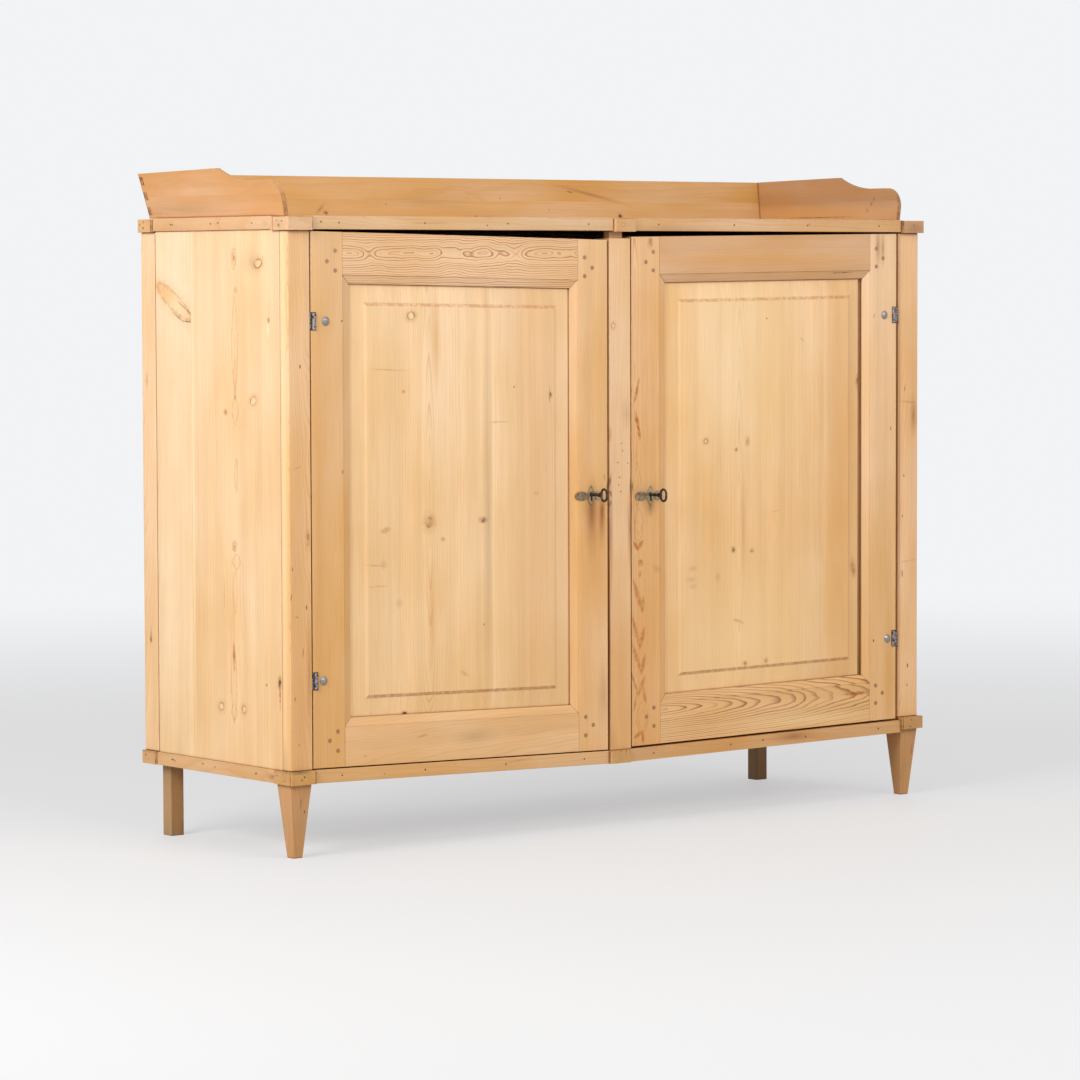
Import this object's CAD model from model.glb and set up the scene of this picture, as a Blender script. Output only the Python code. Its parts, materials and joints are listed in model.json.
import json
import math
import zlib

import bmesh
import bpy
from mathutils import Matrix, Vector
from mathutils.bvhtree import BVHTree

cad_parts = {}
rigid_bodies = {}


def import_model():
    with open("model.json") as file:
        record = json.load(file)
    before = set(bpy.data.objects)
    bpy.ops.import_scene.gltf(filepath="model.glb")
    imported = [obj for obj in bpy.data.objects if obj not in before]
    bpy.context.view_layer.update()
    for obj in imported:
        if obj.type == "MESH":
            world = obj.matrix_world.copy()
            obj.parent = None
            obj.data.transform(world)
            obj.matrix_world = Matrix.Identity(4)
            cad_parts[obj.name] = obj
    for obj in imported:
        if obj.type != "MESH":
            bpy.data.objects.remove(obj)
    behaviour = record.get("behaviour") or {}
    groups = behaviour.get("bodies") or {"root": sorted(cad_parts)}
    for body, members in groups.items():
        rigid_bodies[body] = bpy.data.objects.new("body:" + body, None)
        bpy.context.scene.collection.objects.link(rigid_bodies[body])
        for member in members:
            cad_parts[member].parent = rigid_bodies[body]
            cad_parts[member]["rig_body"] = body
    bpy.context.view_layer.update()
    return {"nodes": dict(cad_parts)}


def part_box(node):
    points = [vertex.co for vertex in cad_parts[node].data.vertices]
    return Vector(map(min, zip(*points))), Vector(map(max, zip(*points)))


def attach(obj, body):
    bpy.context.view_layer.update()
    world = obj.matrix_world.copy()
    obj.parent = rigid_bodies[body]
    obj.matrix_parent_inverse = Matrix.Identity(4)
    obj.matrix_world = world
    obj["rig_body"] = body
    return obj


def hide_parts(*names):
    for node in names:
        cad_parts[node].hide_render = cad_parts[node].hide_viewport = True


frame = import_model()


# Corner posts and muntin: squared upright pine, planed by hand and waxed, tenoned into the blocks
# at their ends. Their arrises are rubbed round, and the muntin is chipped beside the locks.
mm = 1000                # the frame is in metres, and the sizes below are in millimetres


def linear(colour):
    """The linear red, green and blue of an sRGB hex colour."""
    parts = [int(colour[i:i + 2], 16) / 255 for i in (1, 3, 5)]
    return [p / 12.92 if p <= 0.04045 else ((p + 0.055) / 1.055) ** 2.4 for p in parts]


def add(tree, kind, inputs=None, stops=(), **settings):
    """Adds a node. Inputs go by name or number, and a node or socket there is linked.
    Stops are a colour ramp's points: place, colour and cover."""
    node = tree.nodes.new("ShaderNode" + kind)
    for name, value in settings.items():
        setattr(node, name, value)
    for index, (place, colour, cover) in enumerate(stops):
        points = node.color_ramp.elements
        point = points[index] if index < 2 else points.new(place)
        point.position = place
        point.color = linear(colour) + [cover]
    live = [socket for socket in node.inputs if socket.enabled]
    for key, value in (inputs or {}).items():
        socket = live[key] if isinstance(key, int) else next(s for s in live if s.name == key)
        if isinstance(value, bpy.types.Node):
            value = next(s for s in value.outputs if s.enabled)
        if isinstance(value, bpy.types.NodeSocket):
            tree.links.new(value, socket)
        elif isinstance(value, str):
            socket.default_value = linear(value) + [1.0]
        else:
            socket.default_value = value
    return node


# What an old board carries: colours from the middle of a mark outwards, with how well they cover.
# A stop at 1 lies at mark_reach times the mark's own half size. Some kinds make the rings bend round
# them, some lie soft and even over the wood, and some run out to points along the grain.
mark_reach = 2.5
mark_kinds = {
    "pale_knot": ((0.0, "#edcb9a", 0.5), (0.26, "#e4ba82", 0.6), (0.32, "#7a4d26", 0.9),
                  (0.38, "#94653a", 0.75), (0.46, "#c4915b", 0.45), (0.95, "#d9a96f", 0.0)),
    "spike": ((0.0, "#e6bd88", 0.45), (0.24, "#dcae76", 0.6), (0.34, "#c08a50", 0.75),
              (0.39, "#9c6a38", 0.6), (0.44, "#d2a066", 0.35), (0.9, "#dcae78", 0.0)),
    "eye": ((0.0, "#8f5626", 0.95), (0.12, "#a86f3c", 0.85), (0.2, "#ddb17a", 0.5),
            (0.27, "#9a6231", 0.85), (0.34, "#dfb37b", 0.4), (0.41, "#a9733f", 0.75),
            (0.5, "#d9a96f", 0.0)),
    "brown_knot": ((0.0, "#8f5e30", 0.8), (0.2, "#b27d47", 0.8), (0.33, "#93612f", 0.75),
                   (0.42, "#b98450", 0.5), (0.95, "#d2a066", 0.0)),
    "dark_knot": ((0.0, "#2c150c", 1.0), (0.28, "#542a16", 0.95), (0.4, "#8f5a31", 0.6),
                  (0.85, "#bd8650", 0.0)),
    "red_spot": ((0.0, "#b37242", 0.6), (0.36, "#c3854f", 0.5), (0.42, "#a8703f", 0.4),
                 (0.7, "#d2a066", 0.0)),
    "loop": ((0.0, "#d9a268", 0.0), (0.33, "#d9a268", 0.1), (0.385, "#ab7140", 0.8),
             (0.45, "#d9a268", 0.0)),
    "flame": ((0.0, "#9a4a1a", 0.9), (0.3, "#ad6129", 0.75), (0.5, "#d09a60", 0.0)),
    "crack": ((0.0, "#2f1a0f", 0.9), (0.3, "#472a18", 0.75), (0.55, "#94653a", 0.0)),
    "hole": ((0.0, "#24160d", 1.0), (0.36, "#45301f", 0.9), (0.5, "#9a7148", 0.3),
             (0.75, "#b98a5a", 0.0)),
    "scratch": ((0.0, "#96704b", 0.5), (0.36, "#a98058", 0.35), (0.6, "#b98f62", 0.0)),
    "stain": ((0.0, "#7a421e", 0.62), (0.3, "#93592b", 0.42), (1.0, "#b97d44", 0.0)),
    "seam": ((0.0, "#8a5228", 0.75), (0.35, "#9a6233", 0.55), (0.7, "#b98048", 0.0)),
    "smudge": ((0.0, "#8f7353", 0.3), (0.4, "#98795a", 0.18), (1.0, "#a98b65", 0.0)),
    "black_dirt": ((0.0, "#5c4a36", 0.75), (0.4, "#6f5a40", 0.5), (1.0, "#9a7a52", 0.0)),
    "light": ((0.0, "#f6dcb2", 0.5), (0.4, "#f3d6a8", 0.32), (1.0, "#e9c592", 0.0)),
    "warm": ((0.0, "#cf9350", 0.5), (0.4, "#d49c5c", 0.34), (1.0, "#dcab72", 0.0)),
}
bending_kinds = ("pale_knot", "eye", "brown_knot", "dark_knot", "red_spot")
soft_kinds = ("stain", "smudge", "black_dirt", "light", "warm", "seam")
pointed_kinds = ("loop", "flame")


def pine(node, axes, tone, late="#bb7f45", ring=5.0, pith=(0, 80), lean=0.05, sway=(24, 24), wave=420,
         figure=0.4, boards=None, marks=(), grime=0.6, ends=(0.6, 0.95, 0.3, "#744522")):
    """Waxed pine: pale early wood, thin orange late wood, fine fibres, dirt in corners and on arrises.
    axes are the directions across, through and along the grain, tone and late the colours of early and
    late wood, and figure how strongly the rings show. ring is a year's growth, pith the place of the
    tree's heart from the piece's middle and lean its drift through the wood. sway is how far the rings
    wander across and through, and wave over what length. boards is a joint and a board's width, where a
    piece is glued up. Each mark has its kind, place, half sizes and tilt in degrees, in the plane of the
    first and last axes unless it names another. ends says from what slope to what slope to the grain a
    cut face darkens, how far and to what colour."""
    material = bpy.data.materials.new("waxed_pine_" + node)
    material.use_nodes = True
    tree = material.node_tree
    shader = tree.nodes["Principled BSDF"]
    low, high = (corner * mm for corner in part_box(node))
    middle = (low + high) / 2
    across, through, along = ("xyz".index(letter) for letter in axes)
    seed = zlib.crc32(node.encode()) % 997          # every piece comes from another place in the tree
    coords = add(tree, "TexCoord")
    place = add(tree, "VectorMath", {0: coords.outputs["Object"], 1: mm}, operation="SCALE")
    parts = add(tree, "SeparateXYZ", {0: place})
    grain = add(tree, "CombineXYZ", {0: parts.outputs[across], 1: parts.outputs[through],
                                     2: parts.outputs[along]})

    # Ragged outlines for the marks: small marks stay closer to their places than large ones
    fray_length, small_fray, large_fray, small_mark = 9, 0.6, 3.0, 3.5
    ragged_noise = add(tree, "TexNoise", {"Vector": place, "Scale": 1 / fray_length, "Detail": 2.0})
    ragged = {}
    for fray in (small_fray, large_fray):
        ragged[fray] = add(tree, "VectorMath", {0: ragged_noise.outputs["Color"], 1: [fray] * 3,
                                                2: place}, operation="MULTIPLY_ADD")

    # Each glued-up board is cut from another part of the tree
    board_step = Vector((173.0, 11.0, 389.0))
    board = grain
    if boards:
        joint, board_width = boards
        from_joint = add(tree, "Math", {0: parts.outputs[across], 1: joint}, operation="SUBTRACT")
        board_count = add(tree, "Math", {0: from_joint, 1: board_width}, operation="DIVIDE")
        board_index = add(tree, "Math", {0: board_count}, operation="FLOOR")
        board = add(tree, "VectorMath", {0: board_index, 1: board_step, 2: grain},
                    operation="MULTIPLY_ADD")

    # Growth rings round a heart that wanders, parted by the knots
    sway_width = 80
    slow = add(tree, "Mapping", {"Vector": board, "Location": (seed, seed / 2, seed / 3),
                                 "Scale": (1 / sway_width, 1 / sway_width, 1 / wave)})
    drift = add(tree, "TexNoise", {"Vector": slow, "Scale": 1.0, "Detail": 2.0})
    swayed = add(tree, "VectorMath", {0: drift.outputs["Color"], 1: (*sway, 0.0), 2: board},
                 operation="MULTIPLY_ADD")
    swayed_parts = add(tree, "SeparateXYZ", {0: swayed})
    beside = swayed_parts.outputs[0]
    knot_reach, knot_pinch, right_through = 3.0, 0.3, 1e5
    mark_sizes = []
    for kind, first, second, half_first, half_second, tilt, *plane in marks:
        u, v = ("xyz".index(letter) for letter in (plane[0] if plane else axes[0] + axes[2]))
        spot_place = [0.0, 0.0, 0.0]
        spot_half = [right_through] * 3
        spot_turn = [0.0, 0.0, 0.0]
        fray = large_fray if min(half_first, half_second) > small_mark else small_fray
        spot_place[u] = first + fray / 2
        spot_place[v] = second + fray / 2
        spot_half[u] = half_first
        spot_half[v] = half_second
        spot_turn[3 - u - v] = math.radians(tilt if v == (u + 2) % 3 else -tilt)
        spot = add(tree, "Mapping", {"Vector": ragged[fray], "Location": spot_place,
                                     "Rotation": spot_turn, "Scale": spot_half}, vector_type="TEXTURE")
        if kind in pointed_kinds:
            spot_parts = add(tree, "SeparateXYZ", {0: spot})
            beside_spot = add(tree, "Math", {0: spot_parts.outputs[u]}, operation="ABSOLUTE")
            size = add(tree, "Math", {0: spot_parts.outputs[v], 1: spot_parts.outputs[v],
                                      2: beside_spot}, operation="MULTIPLY_ADD")
        else:
            size = add(tree, "VectorMath", {0: spot}, operation="LENGTH")
        mark_sizes.append(size)
        if kind in bending_kinds and not plane:
            step = board_step.x * math.floor((first - joint) / board_width) if boards else 0
            centre = first + step + sway[0] / 2
            hold = add(tree, "MapRange", {"Value": size, "From Max": knot_reach, "To Min": knot_pinch},
                       interpolation_type="SMOOTHSTEP")
            off = add(tree, "Math", {0: beside, 1: centre}, operation="SUBTRACT")
            beside = add(tree, "Math", {0: off, 1: hold, 2: centre}, operation="MULTIPLY_ADD")
    depth = add(tree, "Math", {0: swayed_parts.outputs[2], 1: lean, 2: swayed_parts.outputs[1]},
                operation="MULTIPLY_ADD")
    section = add(tree, "CombineXYZ", {0: beside, 1: depth})
    heart = (middle[across] + pith[0] + sway[0] / 2,
             middle[through] + pith[1] + lean * middle[along] + sway[1] / 2, 0)
    radius = add(tree, "VectorMath", {0: section, 1: heart}, operation="DISTANCE")
    wobble_width, wobble_length, wobble_years = 14, 110, 1.1
    wobble_place = add(tree, "Mapping", {"Vector": board, "Scale": (1 / wobble_width, 1 / wobble_width,
                                                                    1 / wobble_length)})
    wobble = add(tree, "TexNoise", {"Vector": wobble_place, "Scale": 1.0, "Detail": 2.0})
    steady = add(tree, "Math", {0: radius, 1: ring}, operation="DIVIDE")
    years = add(tree, "Math", {0: wobble, 1: wobble_years, 2: steady}, operation="MULTIPLY_ADD")
    year = add(tree, "Math", {0: years}, operation="FLOOR")
    season = add(tree, "Math", {0: years}, operation="FRACT")
    spring_to_winter = ((0.0, "#000000", 1), (0.55, "#3c3c3c", 1), (0.8, "#dcdcdc", 1),
                        (0.9, "#ffffff", 1), (0.97, "#000000", 1))
    band = add(tree, "ValToRGB", {0: season}, stops=spring_to_winter)
    weather = add(tree, "TexWhiteNoise", {"W": year}, noise_dimensions="1D")
    growth = add(tree, "MapRange", {"Value": weather, "To Min": 0.3 * figure, "To Max": figure})
    late_wood = add(tree, "Math", {0: band, 1: growth}, operation="MULTIPLY")

    # Colour: wide patches and long streaks of paler and warmer wood, then the rings, and fine fibres,
    # drawn 2 mm wide to show
    patch_width, patch_length = 130, 300
    streak_width, streak_length = 24, 900
    fibre_width, fibre_length = 2, 80
    patch_place = add(tree, "Mapping", {"Vector": board, "Location": (seed, 0, seed),
                                        "Scale": (1 / patch_width, 1 / patch_width, 1 / patch_length)})
    patches = add(tree, "TexNoise", {"Vector": patch_place, "Scale": 1.0, "Detail": 3.0})
    patch = add(tree, "MapRange", {"Value": patches, "From Min": 0.32, "From Max": 0.68,
                                   "To Min": 1.04, "To Max": 0.94})
    richness = add(tree, "MapRange", {"Value": patches, "From Min": 0.32, "From Max": 0.68,
                                      "To Min": 0.88, "To Max": 1.08})
    streak_place = add(tree, "Mapping", {"Vector": board, "Location": (0, seed, seed),
                                         "Scale": (1 / streak_width, 1 / streak_width,
                                                   1 / streak_length)})
    streaks = add(tree, "TexNoise", {"Vector": streak_place, "Scale": 1.0, "Detail": 3.0})
    streak = add(tree, "MapRange", {"Value": streaks, "From Min": 0.3, "From Max": 0.7,
                                    "To Min": 0.94, "To Max": 1.06})
    lightness = add(tree, "Math", {0: patch, 1: streak}, operation="MULTIPLY")
    toned = add(tree, "HueSaturation", {"Color": tone, "Saturation": richness, "Value": lightness})
    ringed = add(tree, "Mix", {"Factor": late_wood, "A": toned, "B": late}, data_type="RGBA")
    fibre_place = add(tree, "Mapping", {"Vector": board, "Scale": (1 / fibre_width, 1 / fibre_width,
                                                                   1 / fibre_length)})
    fibres = add(tree, "TexNoise", {"Vector": fibre_place, "Scale": 1.0, "Detail": 3.0})
    fibre = add(tree, "MapRange", {"Value": fibres, "From Min": 0.3, "From Max": 0.7,
                                   "To Min": 0.96, "To Max": 1.04})
    colour = add(tree, "HueSaturation", {"Color": ringed, "Value": fibre})

    # Nicks and worm holes of about 1 mm, a few to the hand's breadth, and then the marks
    nick_spacing, nick_spacing_along = 45, 70
    nick_place = add(tree, "Mapping", {"Vector": grain, "Location": (seed, seed, seed),
                                       "Scale": (1 / nick_spacing, 1 / nick_spacing,
                                                 1 / nick_spacing_along)})
    nick = add(tree, "TexVoronoi", {"Vector": nick_place, "Scale": 1.0})
    nick_size = add(tree, "MapRange", {"Value": nick.outputs["Color"], "From Min": 0.6, "From Max": 1.0,
                                       "To Max": 0.035})
    nick_inside = add(tree, "Math", {0: nick_size, 1: nick.outputs["Distance"]}, operation="SUBTRACT")
    nicked = add(tree, "MapRange", {"Value": nick_inside, "From Max": 0.01, "To Max": 0.55})
    colour = add(tree, "Mix", {"Factor": nicked, "A": colour, "B": "#5a3a22"}, data_type="RGBA")
    thin = add(tree, "MapRange", {"Value": ragged_noise, "From Min": 0.35, "From Max": 0.6,
                                  "To Min": 0.4})
    for (kind, *_), size in zip(marks, mark_sizes):
        near = add(tree, "Math", {0: size, 1: mark_reach}, operation="DIVIDE")
        shade = add(tree, "ValToRGB", {0: near}, stops=mark_kinds[kind])
        worn_thin = 1.0 if kind in soft_kinds else thin
        cover = add(tree, "Math", {0: shade.outputs["Alpha"], 1: worn_thin}, operation="MULTIPLY")
        colour = add(tree, "Mix", {"Factor": cover, "A": colour, "B": shade}, data_type="RGBA")

    # A hundred years of wax are warmer towards the floor, and faces cut across the grain drink more dirt
    top_height, foot_height = 1000.0, 100.0
    lowness = add(tree, "MapRange", {"Value": parts.outputs[2], "From Min": top_height,
                                     "From Max": foot_height})
    waxed = add(tree, "Mix", {"Factor": lowness, "A": colour, "B": "#f7f0e0"}, data_type="RGBA",
                blend_type="MULTIPLY")
    facing = add(tree, "SeparateXYZ", {0: coords.outputs["Normal"]})
    slope = add(tree, "Math", {0: facing.outputs[along]}, operation="ABSOLUTE")
    from_slope, to_slope, end_share, end_colour = ends
    cut = add(tree, "MapRange", {"Value": slope, "From Min": from_slope, "From Max": to_slope,
                                 "To Max": end_share})
    patchy = add(tree, "Math", {0: cut, 1: thin}, operation="MULTIPLY")
    sealed = add(tree, "Mix", {"Factor": patchy, "A": waxed, "B": end_colour}, data_type="RGBA")

    # Dirt and old wax in the corners and joints, and on the arrises where hands and brooms have rubbed
    corner_reach = 4 / mm
    corner = add(tree, "AmbientOcclusion", {"Distance": corner_reach}, samples=6)
    held = add(tree, "MapRange", {"Value": corner.outputs["AO"], "From Min": 0.4, "From Max": 0.94,
                                  "To Min": grime, "To Max": 0.0})
    dirty = add(tree, "Mix", {"Factor": held, "A": sealed, "B": "#70330f"}, data_type="RGBA")
    inside = add(tree, "VectorMath", {0: place, 1: low}, operation="SUBTRACT")
    outside = add(tree, "VectorMath", {0: high, 1: place}, operation="SUBTRACT")
    nearest = add(tree, "VectorMath", {0: inside, 1: outside}, operation="MINIMUM")
    gaps = add(tree, "SeparateXYZ", {0: nearest})
    least = add(tree, "Math", {0: gaps.outputs[0], 1: gaps.outputs[1]}, operation="MINIMUM")
    most = add(tree, "Math", {0: gaps.outputs[0], 1: gaps.outputs[1]}, operation="MAXIMUM")
    most = add(tree, "Math", {0: most, 1: gaps.outputs[2]}, operation="MINIMUM")
    from_arris = add(tree, "Math", {0: least, 1: most}, operation="MAXIMUM")
    rub_from, rub_to, rub_fray = 2.0, 4.5, 6.0
    rubbed = add(tree, "Math", {0: ragged_noise, 1: rub_fray, 2: from_arris}, operation="MULTIPLY_ADD")
    worn = add(tree, "MapRange", {"Value": rubbed, "From Min": rub_from, "From Max": rub_to,
                                  "To Min": 0.4 * grime, "To Max": 0.0})
    finished = add(tree, "Mix", {"Factor": worn, "A": dirty, "B": "#8a5b31"}, data_type="RGBA")
    tree.links.new(finished.outputs[2], shader.inputs["Base Color"])

    # Hand-planed and waxed: late wood stands a little proud, and the gloss follows the fibres
    relief = add(tree, "Math", {0: late_wood, 1: 0.6, 2: fibres}, operation="MULTIPLY_ADD")
    grain_height = 0.15 / mm
    bump = add(tree, "Bump", {"Strength": 0.5, "Distance": grain_height, "Height": relief})
    tree.links.new(bump.outputs[0], shader.inputs["Normal"])
    gloss = add(tree, "MapRange", {"Value": fibres, "From Min": 0.3, "From Max": 0.7,
                                   "To Min": 0.44, "To Max": 0.58})
    tree.links.new(gloss.outputs[0], shader.inputs["Roughness"])
    shader.inputs["Specular IOR Level"].default_value = 0.35
    return material


def worn_copy(node, arris, material, crisp=50):
    """Stands for a CAD piece: its mesh welded into one skin, with the outer arrises eased by arris mm.
    Short edges, the edges of faces too narrow for that and the mouths of mortises and grooves stay sharp,
    and so does the shading of every edge that turns by more than crisp degrees."""
    skin = bmesh.new()
    skin.from_mesh(frame["nodes"][node].data)
    bmesh.ops.remove_doubles(skin, verts=skin.verts, dist=0.00001)
    bmesh.ops.dissolve_limit(skin, angle_limit=math.radians(0.5), verts=skin.verts, edges=skin.edges)
    shortest = 8 * arris / mm
    narrowest = 2.5 * arris / mm
    sharpness = math.radians(40)
    eased = [e for e in skin.edges if e.is_manifold and e.calc_length() > shortest
             and e.calc_face_angle_signed() > sharpness
             and all(f.calc_area() / e.calc_length() > narrowest for f in e.link_faces)]

    # A face that looks at another wall of its own piece, further off than a board joint is wide and
    # nearer than the widest groove, lies in a mouth
    walls = BVHTree.FromBMesh(skin)
    board_gap, widest_mouth = 1.2 / mm, 60 / mm
    from_edge, off_face = 0.5, 0.05
    mouths = set()
    for loop in (loop for edge in eased for loop in edge.link_loops):
        start, end = loop.vert.co, loop.link_loop_next.vert.co
        inward = loop.face.normal.cross(end - start).normalized()
        on_face = (start + end) / 2 + (inward * from_edge + loop.face.normal * off_face) / mm
        gap = walls.ray_cast(on_face, loop.face.normal, widest_mouth)[3]
        if gap and gap > board_gap:
            mouths.add(loop.edge)
    eased = [edge for edge in eased if edge not in mouths]
    if eased:
        bmesh.ops.bevel(skin, geom=eased, offset=arris / mm, offset_type="OFFSET", affect="EDGES",
                        segments=2, profile=0.5, material=-1, clamp_overlap=True)
    for face in skin.faces:
        face.smooth = True
        face.material_index = 0
    for edge in skin.edges:
        edge.smooth = edge.is_manifold and edge.calc_face_angle() < math.radians(crisp)
    mesh = bpy.data.meshes.new(node + "_worn")
    skin.to_mesh(mesh)
    skin.free()
    mesh.materials.append(material)
    piece = bpy.data.objects.new(node + "_worn", mesh)
    bpy.context.scene.collection.objects.link(piece)
    piece.modifiers.new("even_shading", "WEIGHTED_NORMAL").keep_sharp = True
    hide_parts(node)
    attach(piece, frame["nodes"][node]["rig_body"])


muntin_marks = (
    ("pale_knot", -20, 946, 4.5, 5.5, 0), ("smudge", 12, 780, 6, 14, 0), ("hole", 0, 724, 1.2, 1.2, 0),
    ("hole", 2, 710, 1.1, 1.1, 0), ("hole", -9, 688, 1.2, 1.4, 0), ("hole", 15, 686, 1.1, 1.1, 0),
    ("hole", -5, 660, 1.2, 1.2, 0), ("hole", -7, 646, 1.1, 1.1, 0), ("hole", -2, 633, 1.2, 1.2, 0),
    ("crack", -27.5, 655, 1.6, 12, 5), ("crack", -26.5, 630, 2, 6, -10),
    ("crack", -27, 612, 1.8, 5, 12), ("crack", 21, 640, 1.4, 18, 0), ("red_spot", -28, 742, 2.5, 11, 0),
    ("stain", -27, 560, 3, 60, 0), ("stain", 19, 560, 2.5, 40, 0), ("smudge", -24, 160, 7, 16, 0),
    ("warm", -5, 290, 20, 130, 0), ("seam", -29, 330, 1.0, 170, 0),
)
left_post_marks = (
    ("brown_knot", -723, 571, 3, 11, 0), ("crack", -748, 434, 4, 1.3, 20),
    ("crack", -753, 288, 1.3, 4, 0), ("crack", -757, 520, 1.2, 4, 0), ("hole", -738, 880, 1.2, 3, 0),
    ("hole", -727, 450, 1.2, 4, 0), ("crack", -760, 470, 1.0, 6, 8),
    ("scratch", -745, 700, 8, 1.2, -15), ("crack", -735, 370, 1.0, 8, 5),
    ("hole", -745, 205, 1.5, 2.5, 0), ("stain", -722, 330, 3, 60, 0), ("warm", -738, 260, 22, 120, 0),
    ("light", -197, 540, 6.5, 500, 0, "yz"), ("smudge", -195, 170, 7, 20, 0, "yz"),
)
right_post_marks = (
    ("scratch", 735, 787, 20, 1.5, 4), ("scratch", 740, 470, 18, 1.5, -5),
    ("crack", 728, 815, 1.0, 7, 8), ("hole", 726, 640, 1.2, 2.5, 0), ("hole", 722, 560, 1.2, 2.5, 0),
    ("stain", 752, 760, 5, 20, 0), ("crack", 722, 445, 1.2, 7, 0), ("hole", 737, 260, 1.6, 3.5, 0),
    ("hole", 735, 222, 1.6, 2.5, 0), ("stain", 713, 640, 2, 420, 0),
)
muntin_arris, post_arris = 1.0, 2.0
worn_copy("muntin", muntin_arris, pine("muntin", "xyz", "#e3b98b", pith=(-60, 40), ring=4, figure=0.3,
                                       marks=muntin_marks))
worn_copy("front_post_left", post_arris, pine("front_post_left", "xyz", "#e0b586", pith=(30, 20), ring=3,
                                              sway=(14, 22), wave=170, figure=0.5, marks=left_post_marks))
worn_copy("front_post_right", post_arris, pine("front_post_right", "xyz", "#e5b786", pith=(-50, 60),
                                               ring=3.5, figure=0.35, marks=right_post_marks))
rear_post_marks = (
    ("dark_knot", 239, 367, 2.5, 6, 0), ("crack", 239, 380, 1.0, 12, 0),
    ("red_spot", 246, 850, 3, 9, 0),
)
for side in ("left", "right"):
    rear_post = "rear_post_" + side
    worn_copy(rear_post, post_arris, pine(rear_post, "yxz", "#e0ba90", pith=(40, 60), ring=4, figure=0.3,
                                          marks=rear_post_marks))


# End planks: a wide flat-sawn board and a narrow one, standing in rebates of the posts.
# The wide board shows its heart as nested flames down the middle, the narrow one a long spike knot.
plank_marks = (
    ("spike", 152, 994, 17, 68, 61), ("crack", 115, 982, 1.1, 26, 62), ("crack", 139, 966, 1.2, 18, 65),
    ("crack", 110, 958, 1.1, 18, 86), ("warm", 182, 1012, 8, 24, 64),
    ("seam", 214.5, 640, 1.1, 900, 0), ("eye", -44, 1072, 7, 18, 0), ("red_spot", -49, 1016, 4, 5, 0),
    ("pale_knot", -121, 1063, 13, 8.5, 15), ("smudge", -100, 1066, 14, 12, 0),
    ("dark_knot", -153, 962, 3, 4, 0), ("light", -151, 946, 4, 9, 0), ("loop", -45, 799, 10, 27, 0),
    ("loop", -45, 915, 10, 90, 0), ("flame", -45, 826, 2.5, 14, 0), ("pale_knot", -103, 817, 11, 8, 30),
    ("brown_knot", -14, 795, 4, 4, 0), ("eye", -40, 553, 8, 9, 0), ("loop", -46, 525, 12, 15, 0),
    ("loop", -41, 470, 7, 40, 0), ("flame", -36, 352, 4, 28, 0), ("loop", -35, 305, 9, 76, 0),
    ("pale_knot", 6, 259, 9, 8, 15), ("pale_knot", -67, 259, 7, 8, -20), ("loop", -35, 252, 9, 15, 0),
    ("hole", -139, 308, 2, 2, 0), ("dark_knot", -181, 314, 4.5, 9, 0), ("flame", -181, 288, 2.5, 26, 0),
    ("scratch", -6, 463, 1.5, 20, 0), ("light", 93, 640, 3, 470, 0),
)
few_marks = plank_marks[7:12]          # the right end has a few of the left end's small marks
plank_joint, plank_arris = 96, 0.8
for side in ("left", "right"):
    front_plank, rear_plank = ("end_plank_%s_%d" % (side, number) for number in (1, 2))
    outward = -1 if side == "left" else 1
    front_marks = [mark for mark in plank_marks if mark[1] < plank_joint] if side == "left" else few_marks
    rear_marks = [mark for mark in plank_marks if mark[1] > plank_joint] if side == "left" else ()
    worn_copy(front_plank, plank_arris,
              pine(front_plank, "yxz", "#e0bc91", "#b98049", pith=(0, -9 * outward), ring=5, lean=0.0,
                   sway=(10, 30), wave=190, figure=0.38, marks=front_marks, grime=0.4))
    worn_copy(rear_plank, plank_arris,
              pine(rear_plank, "yxz", "#e2c39d", "#c48f5c", pith=(90, -40 * outward), ring=4, figure=0.3,
                   marks=rear_marks, grime=0.4))


# Back, shelf and bearers: sawn pine that was never waxed, so it stays dull and pale.
# Eight upright boards are nailed into rebates, and the shelf lies loose on three bearers.
back_low, back_high = (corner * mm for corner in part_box("back_boards"))
back_board_count = 8
back_board_width = (back_high.x - back_low.x) / back_board_count
back_arris, shelf_arris = 0.6, 0.8
worn_copy("back_boards", back_arris, pine("back_boards", "xyz", "#d3ad7d", ring=6, pith=(40, -60),
                                          figure=0.45, boards=(back_low.x, back_board_width)))
worn_copy("shelf", shelf_arris, pine("shelf", "yzx", "#d8b485", ring=6, pith=(30, -70), figure=0.4,
                                     boards=(40, 210)))
worn_copy("shelf_bearers", shelf_arris, pine("shelf_bearers", "zyx", "#cfa878", ring=4, figure=0.3))


# Top and bottom boards: wide pine boards glued up edge to edge, held between the posts' tenons.
# The bottom has sagged in the middle over the years.
top_arris, bottom_arris = 1.0, 0.8
worn_copy("top_board", top_arris, pine("top_board", "yzx", "#d6aa77", ring=7, pith=(30, -80), figure=0.5,
                                       boards=(-30, 160)))
worn_copy("bottom_board", bottom_arris, pine("bottom_board", "yzx", "#cfa878", ring=6, pith=(20, -70),
                                             figure=0.4, boards=(20, 190)))


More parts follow.
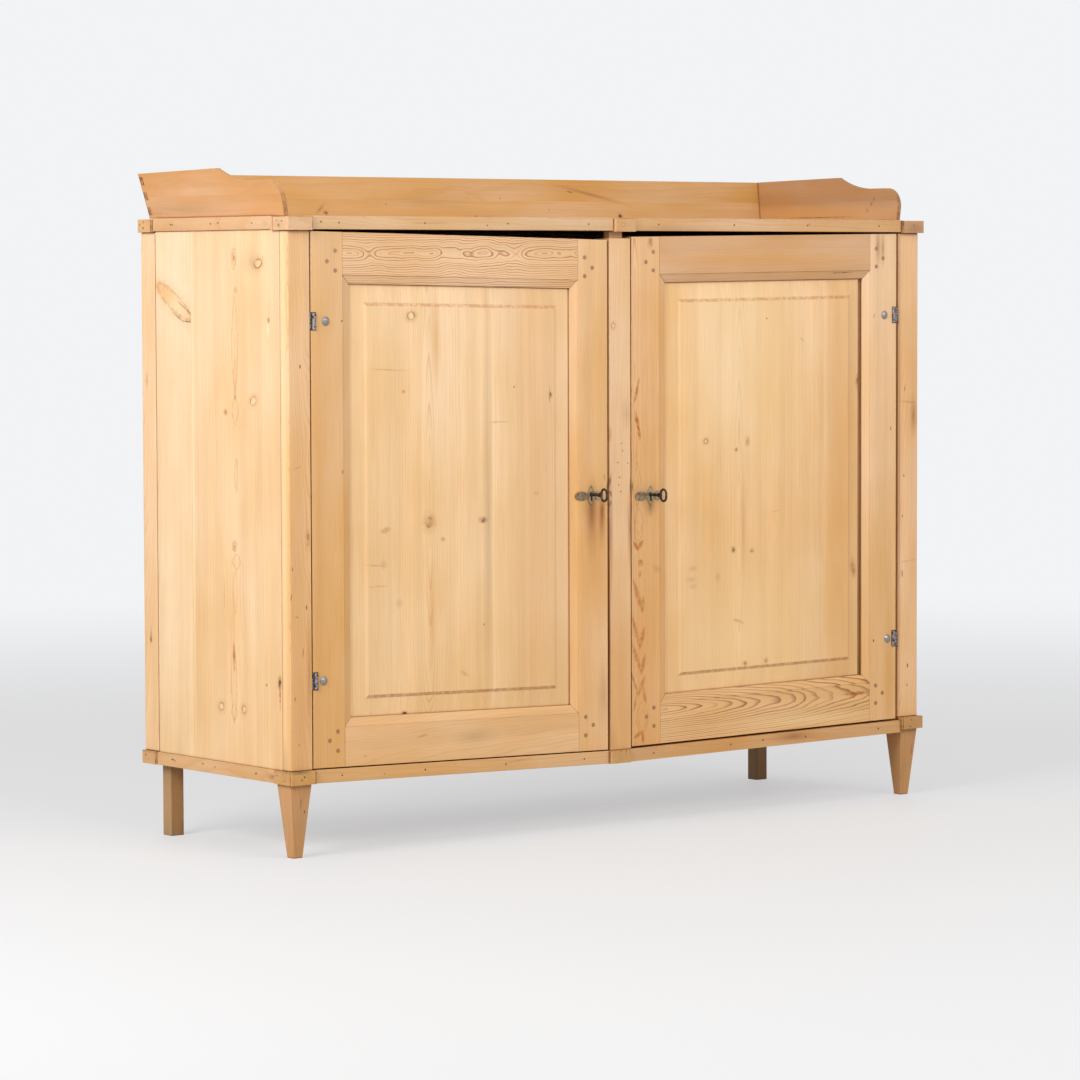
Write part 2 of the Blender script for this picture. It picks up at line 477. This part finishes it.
# Edge strips and corner blocks: narrow strips nailed round the top and the bottom, butted against
# small squared blocks at the posts and at the muntin, with black dirt in the joints.
strip_marks = (
    ("hole", 1137, -693, 1.6, 1.6, 0), ("scratch", 1136, -450, 1.5, 40, 0),
    ("hole", 1132, -320, 1.3, 1.3, 0), ("hole", 1138, 470, 1.3, 1.3, 0),
    ("smudge", 1128, 120, 5, 60, 0), ("hole", 138, 350, 1.3, 2.5, 0), ("stain", 140, 430, 6, 30, 0),
    ("scratch", 142, -250, 1.5, 30, 4), ("hole", 140, -560, 1.3, 1.3, 0), ("crack", 150, 34, 1.5, 8, 0),
    ("smudge", 146, 60, 8, 22, 0), ("crack", 134, -713, 14, 1.2, 0),
)
strip_arris, block_arris = 1.0, 1.2
for strip, tone in (("top_front_strip_left", "#d0aa7f"), ("top_front_strip_right", "#d2a677"),
                    ("bottom_front_strip_left", "#d3a672"), ("bottom_front_strip_right", "#d1a26e")):
    low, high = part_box(strip)
    near = [mark for mark in strip_marks
            if low.z * mm < mark[1] < high.z * mm and low.x * mm < mark[2] < high.x * mm]
    worn_copy(strip, strip_arris, pine(strip, "zyx", tone, pith=(40, 50), ring=3.5, lean=0.02, figure=0.4,
                                       marks=near, grime=0.75))
side_strip_marks = (
    ("hole", 1135, 150, 1.3, 3, 0), ("hole", 1137, 0, 1.3, 3, 0), ("smudge", 1135, -150, 3, 6, 0),
    ("crack", 148, 163, 1.5, 6, 0), ("hole", 149, 63, 1.4, 3, 0),
    ("hole", 147, -110, 1.4, 3, 0), ("stain", 145, -160, 4, 10, 0), ("hole", 146, -166, 1.6, 3, 0),
)
for strips, tone in (("top_side_strips", "#c99e73"), ("bottom_side_strips", "#d0a679")):
    low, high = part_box(strips)
    near = [mark for mark in side_strip_marks if low.z * mm < mark[1] < high.z * mm]
    worn_copy(strips, strip_arris, pine(strips, "zxy", tone, pith=(30, 60), ring=3.5, lean=0.02,
                                        figure=0.35, marks=near, grime=0.75))
top_block_marks = (
    ("hole", 1131, -196, 2.4, 2.8, 0, "zy"), ("hole", 1138, -206, 1.3, 1.5, 0, "zy"),
    ("hole", 1139, -190, 1.2, 1.4, 0, "zy"), ("smudge", 1131, -196, 4, 5, 0, "zy"),
    ("hole", 1141, 242, 2.0, 2.4, 0, "zy"), ("hole", 1130, 243, 1.9, 2.3, 0, "zy"),
    ("hole", 1136, 255, 1.6, 2.2, 0, "zy"), ("crack", 1135, 217.6, 40, 1.6, 0, "zy"),
    ("pale_knot", 1135, -3, 3.5, 3.5, 0), ("stain", 1130, 745, 18, 34, 0),
    ("hole", 1137, 742, 1.6, 1.6, 0), ("crack", 1130, 715, 40, 1.2, 0),
    ("crack", 1133, -715, 40, 1.4, 0), ("seam", 1133, -177.5, 40, 1.0, 0, "zy"),
)
bottom_block_marks = (
    ("dark_knot", 149, -179, 1.8, 2.6, 0, "zy"), ("dark_knot", 141, -203, 1.6, 2.2, 0, "zy"),
    ("hole", 148, -741, 1.6, 1.6, 0), ("hole", 143, -747, 1.9, 1.9, 0), ("smudge", 156, -740, 3, 14, 0),
    ("hole", 150, 249, 1.4, 1.8, 0, "zy"), ("hole", 142, 240, 1.2, 1.6, 0, "zy"),
    ("smudge", 146, 745, 14, 24, 0), ("hole", 152, 738, 1.6, 1.6, 0), ("hole", 139, 735, 1.6, 1.6, 0),
    ("hole", 147, -5, 1.6, 1.6, 0), ("crack", 146, -9, 1.1, 8, 60), ("crack", 143, 2, 1.0, 6, 70),
    ("crack", 148, -221, 40, 1.2, 0, "zy"), ("crack", 148, -715.5, 40, 1.8, 0),
    ("black_dirt", 158, -752, 2.6, 12, 0), ("crack", 148, 217.6, 40, 1.4, 0, "zy"),
    ("crack", 148, 716, 40, 1.3, 0), ("smudge", 150, -205, 6, 8, 0, "zy"),
)
block_looks = dict(pith=(20, 30), ring=3, figure=0.35, grime=0.85, ends=(0.6, 0.95, 0.1, "#744522"))
worn_copy("top_blocks", block_arris, pine("top_blocks", "zyx", "#cfa374", marks=top_block_marks,
                                          **block_looks))
worn_copy("bottom_blocks", block_arris, pine("bottom_blocks", "zyx", "#cb9d68", "#9a6c40",
                                             marks=bottom_block_marks, **block_looks))


# Legs: tapered square front legs turned to a round tenon under the blocks, and plain square rear
# legs set further in, all knocked and grey-brown towards the floor.
leg_marks = {
    "front_leg_left": (("crack", -740, 100, 1.0, 10, 0), ("smudge", -748, 60, 10, 40, 0),
                       ("hole", -731, 84, 1.0, 3, 0)),
    "front_leg_right": (("crack", 752, 90, 1.0, 12, 0), ("smudge", 735, 50, 10, 40, 0)),
    "rear_leg_left": (("stain", -715, 110, 12, 16, 0), ("stain", -712, 14, 12, 10, 0),
                      ("warm", -733, 60, 8, 30, 0)),
    "rear_leg_right": (),
}
leg_arris = 1.2
for leg, marks in leg_marks.items():
    tone = "#c5915c" if leg.startswith("front") else "#9f7d55"
    worn_copy(leg, leg_arris, pine(leg, "xyz", tone, "#8a5c33", pith=(-40, 45), ring=3.5, lean=0.02,
                                   figure=0.4, marks=marks))


# Gallery: three thin boards standing round the top, leaning outwards, dovetailed at the rear and
# glued up from two widths. They are of redder pine, with rounded front ends.
gallery_marks = (
    ("dark_knot", 1159, 360, 3.5, 4.5, 0), ("stain", 1202, 290, 2.5, 50, -12),
    ("crack", 1206, 240, 1.3, 7, -12), ("dark_knot", 1161, -365, 3, 4.5, 0),
    ("stain", 1168, -377, 2.5, 9, 40), ("dark_knot", 1154, -6, 3, 4.5, 0),
    ("stain", 1153, 4, 1.6, 22, 6), ("smudge", 1185, -120, 8, 60, 0), ("hole", 1178, -220, 1.2, 1.2, 0),
    ("hole", 1192, 60, 1.2, 1.2, 0), ("hole", 1170, 180, 1.2, 1.2, 0),
)
gallery_boards = (1187, 400)
gallery_back_arris, gallery_end_arris = 1.2, 2.6
worn_copy("gallery_back", gallery_back_arris,
          pine("gallery_back", "zyx", "#c39256", "#a06a3c", pith=(-10, 60), ring=5, lean=0.01, figure=0.2,
               boards=gallery_boards, marks=gallery_marks, grime=0.95, ends=(0.5, 0.9, 0.85, "#6a3a1e")))
gallery_end_marks = {
    "left": (("smudge", 1165, 120, 8, 90, 0), ("scratch", 1156, 190, 1.5, 40, 2),
             ("scratch", 1163, 150, 1.2, 50, 3)),
    "right": (("black_dirt", 1168, -96, 3, 3, 0), ("black_dirt", 1181, -106, 3, 2, 20),
              ("black_dirt", 1191, -112, 3, 1.5, 0), ("warm", 1163, 60, 9, 200, 0),
              ("crack", 1156, 40, 0.8, 90, 0)),
}
for side, tone in (("left", "#c38d58"), ("right", "#ad7f55")):
    gallery_end = "gallery_end_" + side
    worn_copy(gallery_end, gallery_end_arris,
              pine(gallery_end, "zxy", tone, "#9a6136", pith=(20, 50), ring=3, lean=0.01, figure=0.14,
                   boards=gallery_boards, marks=gallery_end_marks[side], grime=0.95,
                   ends=(0.6, 1.0, 0.6, "#6a3a1e")))


# Door frames: two stiles and two rails to a door, tenoned, mitred at the moulding and drawn tight
# with split pegs. The rails lie across, and two of them are cut from strongly figured wood.
stile_looks = {
    "hinge_stile_left": dict(tone="#d8aa74", pith=(-90, 60), ring=4, figure=0.25, marks=(
        ("hole", -646, 960, 1.6, 1.6, 0), ("hole", -646, 690, 1.0, 3, 0),
        ("warm", -700, 620, 10, 250, 0))),
    "lock_stile_left": dict(tone="#e0b27e", pith=(110, 50), ring=4, figure=0.25, marks=(
        ("warm", -62, 540, 16, 80, 0), ("stain", -73, 585, 9, 36, 0), ("stain", -73, 600, 7, 18, 0),
        ("stain", -49, 586, 5, 30, 0), ("stain", -48, 594, 4, 20, 0), ("stain", -47, 600, 3, 10, 0),
        ("smudge", -45, 250, 8, 30, 0), ("crack", -36, 640, 1.2, 12, 0),
        ("crack", -42, 660, 1.0, 6, -12))),
    "lock_stile_right": dict(tone="#e1af75", late="#a85c28", pith=(-34, -8), ring=3, lean=0.0,
                             sway=(10, 24), wave=150, figure=0.65, marks=(
        ("brown_knot", 71, 1103, 4.5, 8, 0), ("flame", 37, 822, 3.5, 28, 14),
        ("flame", 38, 764, 5, 20, -14), ("flame", 43, 742, 4, 16, -8), ("loop", 38, 645, 9, 42, 0),
        ("flame", 34.5, 529, 5, 11, -36), ("flame", 45, 530, 5, 14, 38), ("loop", 40, 556, 11, 20, 0),
        ("loop", 41, 575, 11, 26, 0), ("flame", 45, 496, 8, 8, 30), ("flame", 44, 476, 4, 8, 0),
        ("flame", 39, 434, 6, 36, -20), ("flame", 51, 417, 5, 18, 5), ("flame", 35, 364, 5, 36, -17),
        ("flame", 49, 353, 6, 23, 16), ("flame", 36, 316, 5, 36, -22), ("flame", 52, 304, 5, 22, 14),
        ("flame", 48, 262, 4.5, 22, 24), ("flame", 55, 244, 4.5, 20, -12), ("loop", 50, 197, 8, 22, 0),
        ("loop", 49, 200, 14, 34, 0), ("flame", 30, 270, 3, 30, -20), ("flame", 33, 235, 3, 24, 12),
        ("flame", 40, 170, 5, 14, 60), ("flame", 51, 162, 4, 14, 0), ("smudge", 86, 483, 7, 4, 30),
        ("warm", 45, 300, 16, 150, 0), ("crack", 26, 640, 1.2, 12, 0), ("smudge", 55, 624, 26, 15, 0),
        ("stain", 70, 600, 5, 8, 0), ("seam", 94, 640, 0.9, 360, 0))),
    "hinge_stile_right": dict(tone="#e6bb8a", pith=(100, 50), ring=4, figure=0.25, marks=(
        ("crack", 645, 958, 1.2, 4, 30), ("hole", 645, 315, 1.5, 2.5, 0), ("hole", 690, 735, 1.2, 3, 0),
        ("warm", 690, 250, 10, 90, 0), ("stain", 655, 1096, 4, 20, 0), ("stain", 668, 1092, 3, 18, 0))),
}
frame_arris, frame_grime = 0.8, 0.75
for stile, looks in stile_looks.items():
    worn_copy(stile, frame_arris, pine(stile, "xyz", grime=frame_grime, **looks))
rail_looks = {
    "top_rail_left": dict(tone="#dfb483", late="#93420f", pith=(13, -5), ring=4.0, lean=0.0,
                          sway=(8, 52), wave=80, figure=1.0),
    "bottom_rail_left": dict(tone="#e4bb8e", pith=(-60, 50), ring=4, figure=0.25, marks=(
        ("smudge", 193, -352, 8, 26, 0), ("scratch", 203, -470, 2, 12, 8),
        ("scratch", 175, -600, 2, 4, 0))),
    "top_rail_right": dict(tone="#d0a276", late="#b87843", pith=(-70, 40), ring=4, figure=0.3, marks=(
        ("warm", 1070, 360, 8, 200, 0), ("crack", 1044, 560, 1.0, 26, 2))),
    "bottom_rail_right": dict(tone="#e5b77f", late="#7e3a10", pith=(14, 13.5), ring=3.4, lean=-0.085,
                              sway=(8, 12), wave=200, figure=0.95, marks=(
        ("flame", 213, 600, 4, 40, 0), ("light", 170, 480, 8, 120, 0))),
}
for rail, looks in rail_looks.items():
    worn_copy(rail, frame_arris, pine(rail, "zyx", grime=frame_grime, **looks))


# Pegs: split pine pins driven through the tenons and pared flush. Their end grain drinks dirt,
# so they show as darker dots.
peg_arris = 0.3
for side in ("left", "right"):
    pegs = "pegs_" + side
    worn_copy(pegs, peg_arris, pine(pegs, "xzy", "#ad8460", "#744e35", pith=(12, 9), ring=1.6, figure=0.5,
                                    grime=0.8, ends=(0.6, 0.95, 0.25, "#744522")))


# Panels: two boards glued to a width, raised and fielded, loose in the frame's grooves. Dirt sits
# along the field's edges, and the right-hand panel has shrunk away from its hinge stile.
left_panel_marks = (
    ("warm", -200, 700, 34, 320, 0), ("light", -304, 660, 2, 300, 0), ("smudge", -315, 600, 6, 200, 0),
    ("pale_knot", -489, 968, 9, 8, 0), ("warm", -433, 925, 5, 44, 0),
    ("brown_knot", -507, 831, 2.5, 2.5, 0), ("dark_knot", -168, 819, 3, 4, 0),
    ("crack", -170, 820, 1.0, 14, 0), ("brown_knot", -450, 592, 9, 11, 0),
    ("dark_knot", -327, 592, 7, 4, 0), ("red_spot", -549, 581, 9, 4, -12),
    ("brown_knot", -419, 560, 3, 3, 0), ("scratch", -539, 871, 34, 1.2, 3),
    ("scratch", -288, 771, 18, 1.6, 0), ("hole", -253, 835, 1.2, 1.8, 0),
    ("scratch", -179, 683, 1, 6, 0), ("smudge", -202, 637, 4, 2.5, 0),
    ("scratch", -570, 518, 20, 1.3, 5), ("smudge", -554, 520, 4, 5, 0),
    ("scratch", -567, 480, 20, 1.2, 0), ("smudge", -519, 447, 4, 5, 0), ("hole", -326, 399, 1.2, 2, 0),
    ("scratch", -371, 311, 8, 3, 30), ("warm", -445, 412, 4, 50, 0),
    ("dark_knot", -504, 246, 5, 2.5, 0),
)
right_panel_marks = (
    ("light", 300, 900, 90, 140, 0), ("light", 320, 330, 110, 90, 0), ("warm", 560, 620, 26, 300, 0),
    ("pale_knot", 212, 722, 5, 5, 0), ("brown_knot", 317, 719, 4, 6, 0),
    ("brown_knot", 289, 704, 3, 3, 0), ("scratch", 458, 914, 6, 2, 40),
    ("dark_knot", 281, 511, 4, 4, 0), ("brown_knot", 329, 507, 3.5, 3.5, 0),
    ("warm", 307, 560, 4, 50, 0), ("scratch", 390, 582, 10, 1.3, -8), ("smudge", 179, 479, 6, 3, 0),
    ("smudge", 174, 458, 7, 3, 0), ("smudge", 179, 445, 5, 3, 0), ("smudge", 242, 460, 4, 5, 0),
    ("brown_knot", 597, 462, 6, 13, -12), ("scratch", 294, 372, 12, 3, 20),
    ("brown_knot", 311, 289, 3.5, 3.5, 0), ("brown_knot", 365, 292, 3.5, 3.5, 0),
    ("hole", 367, 956, 1.2, 1.2, 0), ("dark_knot", 610, 829, 4, 9, 0),
)
panel_arris, field_edge_angle = 0.8, 10
panel_looks = dict(ring=3.6, sway=(8, 12), figure=0.5, grime=0.8, ends=(0.06, 0.36, 0.5, "#9c5a2c"))
worn_copy("panel_left", panel_arris,
          pine("panel_left", "xyz", "#ecc799", "#c98b4f", pith=(-75, -7), lean=-0.05, boards=(-1004, 700),
               marks=left_panel_marks, **panel_looks), crisp=field_edge_angle)
worn_copy("panel_right", panel_arris,
          pine("panel_right", "xyz", "#edc28d", "#c5864a", pith=(-61, -2), lean=-0.045, boards=(-186, 700),
               marks=right_panel_marks, **panel_looks), crisp=field_edge_angle)


# Ironwork: forged hinge leaves rolled round their pins, domed rivets, lock cases, bolts, keys and
# nails. The hinges are worn grey, the rivets rubbed bright, the locks dull with oil, the keys nearly
# black and the nails rusty.
def old_iron(name, bare, rust, rust_share, roughness, pitting=0.35):
    """Forged iron: dark scale and rust over bare metal, pitted every 4 mm or so, black in its gaps."""
    material = bpy.data.materials.new(name)
    material.use_nodes = True
    tree = material.node_tree
    shader = tree.nodes["Principled BSDF"]
    coords = add(tree, "TexCoord")
    pit_spacing, pit_depth, gap_reach = 4, 0.4 / mm, 2 / mm
    pits = add(tree, "TexNoise", {"Vector": coords.outputs["Object"], "Scale": mm / pit_spacing,
                                  "Detail": 4.0})
    cover = add(tree, "MapRange", {"Value": pits, "From Min": 0.62 - 0.3 * rust_share,
                                   "From Max": 0.72 - 0.3 * rust_share})
    colour = add(tree, "Mix", {"Factor": cover, "A": bare, "B": rust}, data_type="RGBA")
    gap = add(tree, "AmbientOcclusion", {"Distance": gap_reach}, samples=6)
    closed = add(tree, "MapRange", {"Value": gap.outputs["AO"], "From Min": 0.35, "From Max": 0.85,
                                    "To Min": 0.9, "To Max": 0.0})
    dirty = add(tree, "Mix", {"Factor": closed, "A": colour, "B": "#1c1210"}, data_type="RGBA")
    tree.links.new(dirty.outputs[2], shader.inputs["Base Color"])
    dull = add(tree, "MapRange", {"Value": pits, "From Min": 0.35, "From Max": 0.7,
                                  "To Min": roughness, "To Max": 0.8})
    tree.links.new(dull.outputs[0], shader.inputs["Roughness"])
    bump = add(tree, "Bump", {"Strength": pitting, "Distance": pit_depth, "Height": pits})
    tree.links.new(bump.outputs[0], shader.inputs["Normal"])
    shader.inputs["Metallic"].default_value = 0.75
    return material


hinge_iron = old_iron("worn_wrought_iron", "#8f8886", "#46332d", rust_share=0.4, roughness=0.36)
rivet_iron = old_iron("rubbed_rivet_iron", "#938d87", "#6b615a", rust_share=0.05, roughness=0.13,
                      pitting=0.06)
lock_iron = old_iron("oiled_lock_iron", "#6c6663", "#574a43", rust_share=0.3, roughness=0.42,
                     pitting=0.15)
key_iron = old_iron("dark_forged_iron", "#4b4240", "#2c1d19", rust_share=0.5, roughness=0.34)
nail_iron = old_iron("rusty_nail_iron", "#86664a", "#5e4230", rust_share=0.5, roughness=0.6)
iron_of = {"hinge_leaves": hinge_iron, "hinge_pins": hinge_iron, "hinge_rivets": rivet_iron,
           "lock_case": lock_iron, "lock_bolt": lock_iron, "key": key_iron, "nails": nail_iron}
for node, cad_piece in frame["nodes"].items():
    for start, iron in iron_of.items():
        if node.startswith(start):
            cad_piece.material_slots[0].material = iron


# Escutcheons: a lobed and pointed plate of sheet brass, fixed round each keyhole. The brass has
# gone olive in patches of about 7 mm, and its rim is rubbed round.
old_brass = bpy.data.materials.new("aged_sheet_brass")
old_brass.use_nodes = True
brass_tree = old_brass.node_tree
brass_shader = brass_tree.nodes["Principled BSDF"]
brass_coords = add(brass_tree, "TexCoord")
tarnish_spacing, escutcheon_arris = 7, 0.55
tarnish = add(brass_tree, "TexNoise", {"Vector": brass_coords.outputs["Object"],
                                       "Scale": mm / tarnish_spacing, "Detail": 3.0})
tarnish_cover = add(brass_tree, "MapRange", {"Value": tarnish, "From Min": 0.35, "From Max": 0.65})
brass_colour = add(brass_tree, "Mix", {"Factor": tarnish_cover, "A": "#b09b79", "B": "#786750"},
                   data_type="RGBA")
brass_tree.links.new(brass_colour.outputs[2], brass_shader.inputs["Base Color"])
brass_dull = add(brass_tree, "MapRange", {"Value": tarnish, "To Min": 0.3, "To Max": 0.55})
brass_tree.links.new(brass_dull.outputs[0], brass_shader.inputs["Roughness"])
brass_shader.inputs["Metallic"].default_value = 0.8
for side in ("left", "right"):
    worn_copy("escutcheon_" + side, escutcheon_arris, old_brass)


# Studio: a pale floor that fades into the background, soft lamps from the left and the front, and
# sky light all round. The lamps are set so that a colour on the front renders about as it is written.
background = "#f2f3f5"
floor_radius, fade_from, fade_to = 12.0, 1.4, 6.0
floor_skin = bmesh.new()
bmesh.ops.create_circle(floor_skin, cap_ends=True, radius=floor_radius, segments=96)
floor_mesh = bpy.data.meshes.new("floor")
floor_skin.to_mesh(floor_mesh)
floor_skin.free()
floor = bpy.data.objects.new("floor", floor_mesh)
bpy.context.scene.collection.objects.link(floor)
floor_paint = bpy.data.materials.new("matt_floor_paint")
floor_paint.use_nodes = True
floor_tree = floor_paint.node_tree
floor_shader = floor_tree.nodes["Principled BSDF"]
floor_rays = add(floor_tree, "LightPath")
floor_seen = add(floor_tree, "Math", {0: floor_rays.outputs["Is Camera Ray"],
                                      1: floor_rays.outputs["Is Glossy Ray"]}, operation="MAXIMUM")
floor_colour = add(floor_tree, "Mix", {"Factor": floor_seen, "A": "#b8b6b3", "B": "#d0cecc"},
                   data_type="RGBA")
floor_tree.links.new(floor_colour.outputs[2], floor_shader.inputs["Base Color"])
floor_shader.inputs["Roughness"].default_value = 0.6
floor_coords = add(floor_tree, "TexCoord")
floor_reach = add(floor_tree, "VectorMath", {0: floor_coords.outputs["Object"]}, operation="LENGTH")
floor_fade = add(floor_tree, "MapRange", {"Value": floor_reach, "From Min": fade_from,
                                          "From Max": fade_to, "To Min": 0.55},
                 interpolation_type="SMOOTHSTEP")
far_share = add(floor_tree, "Math", {0: floor_fade, 1: floor_seen}, operation="MULTIPLY")
far_floor = add(floor_tree, "Emission", {"Color": background})
floor_mix = add(floor_tree, "MixShader", {0: far_share, 1: floor_shader, 2: far_floor})
floor_tree.links.new(floor_mix.outputs[0], floor_tree.nodes["Material Output"].inputs["Surface"])
floor_mesh.materials.append(floor_paint)

world = bpy.data.worlds.new("studio")
bpy.context.scene.world = world
world.use_nodes = True
sky_tree = world.node_tree
sky_tree.nodes.clear()
rays = add(sky_tree, "LightPath")
seen = add(sky_tree, "Math", {0: rays.outputs["Is Camera Ray"], 1: rays.outputs["Is Glossy Ray"]},
           operation="MAXIMUM")
seen = add(sky_tree, "Math", {0: seen, 1: rays.outputs["Is Transmission Ray"]}, operation="MAXIMUM")
sky_light = add(sky_tree, "Background", {"Color": "#ffffff", "Strength": 0.5})
sky_seen = add(sky_tree, "Background", {"Color": background})
sky = add(sky_tree, "MixShader", {0: seen, 1: sky_light, 2: sky_seen})
add(sky_tree, "OutputWorld", {"Surface": sky})

aim = Vector((0.0, 0.0, 0.6))
for name, place, size, power in (("left_softbox", (-3.8, -0.9, 2.4), (2.0, 1.6), 137.0),
                                 ("front_softbox", (0.2, -4.4, 3.0), (4.0, 1.6), 115.0)):
    lamp = bpy.data.lights.new(name, "AREA")
    lamp.shape = "RECTANGLE"
    lamp.size, lamp.size_y = size
    lamp.energy = power
    lamp_object = bpy.data.objects.new(name, lamp)
    lamp_object.location = place
    lamp_object.rotation_euler = (aim - Vector(place)).to_track_quat("-Z", "Y").to_euler()
    bpy.context.scene.collection.objects.link(lamp_object)

# The camera stands before the left front corner, a little below the top, and looks slightly down
camera_place = (-5.0948, -6.4328, 1.0399)
camera_data = bpy.data.cameras.new("camera")
camera_data.lens = 142.24
camera_data.sensor_width = 36.0
camera_data.clip_end = 60.0
camera = bpy.data.objects.new("camera", camera_data)
yaw, pitch, roll = (math.radians(angle) for angle in (38.224, -3.545, -0.183))
forward = Vector((math.sin(yaw) * math.cos(pitch), math.cos(yaw) * math.cos(pitch), math.sin(pitch)))
level = Vector((math.cos(yaw), -math.sin(yaw), 0.0))
upright = level.cross(forward)
right = math.cos(roll) * level + math.sin(roll) * upright
up = math.cos(roll) * upright - math.sin(roll) * level
turned = Matrix((right, up, -forward)).transposed().to_4x4()
camera.matrix_world = Matrix.Translation(camera_place) @ turned
bpy.context.scene.collection.objects.link(camera)
bpy.context.scene.camera = camera
bpy.context.scene.view_settings.view_transform = "Standard"
